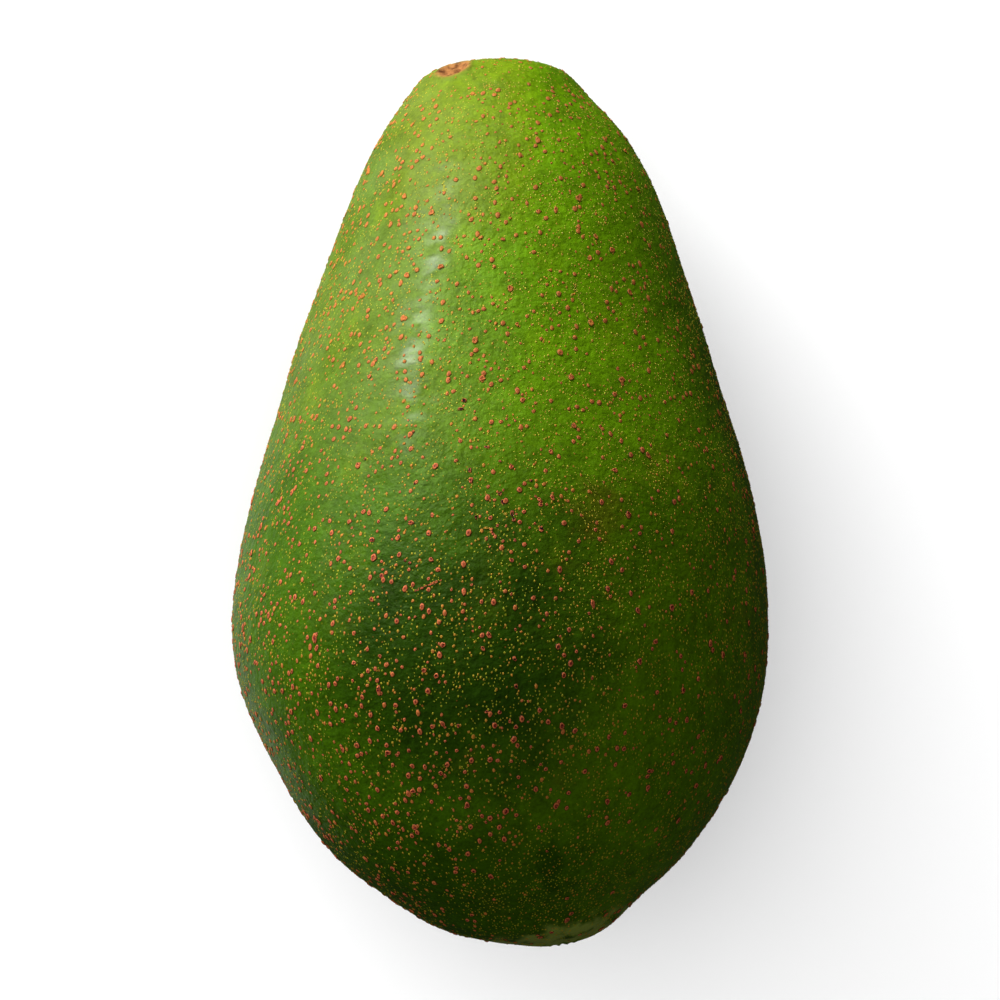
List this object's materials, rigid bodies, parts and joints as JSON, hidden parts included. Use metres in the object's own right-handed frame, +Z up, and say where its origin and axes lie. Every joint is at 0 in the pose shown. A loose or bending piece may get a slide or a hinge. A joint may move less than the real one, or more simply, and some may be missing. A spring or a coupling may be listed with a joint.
{
  "type": "whole avocado",
  "caption": "Pear-shaped green fruit lying on its side, with a leathery skin covered in raised corky pores, a stalk scar and a small flower scar.",
  "frame": {"origin": "middle of the small flat spot under the belly that the fruit rests on, straight below its centre of mass", "axes": "+Z up, +Y towards the stalk end, +X to the right as seen from above with the stalk end away from the viewer"},
  "size_m": [0.0722, 0.12, 0.0706],
  "materials": {
    "skin": "waxy satin green skin with orange-brown corky pores"
  },
  "bodies": {
    "root": {"avocado": "skin"}
  },
  "joints": []
}
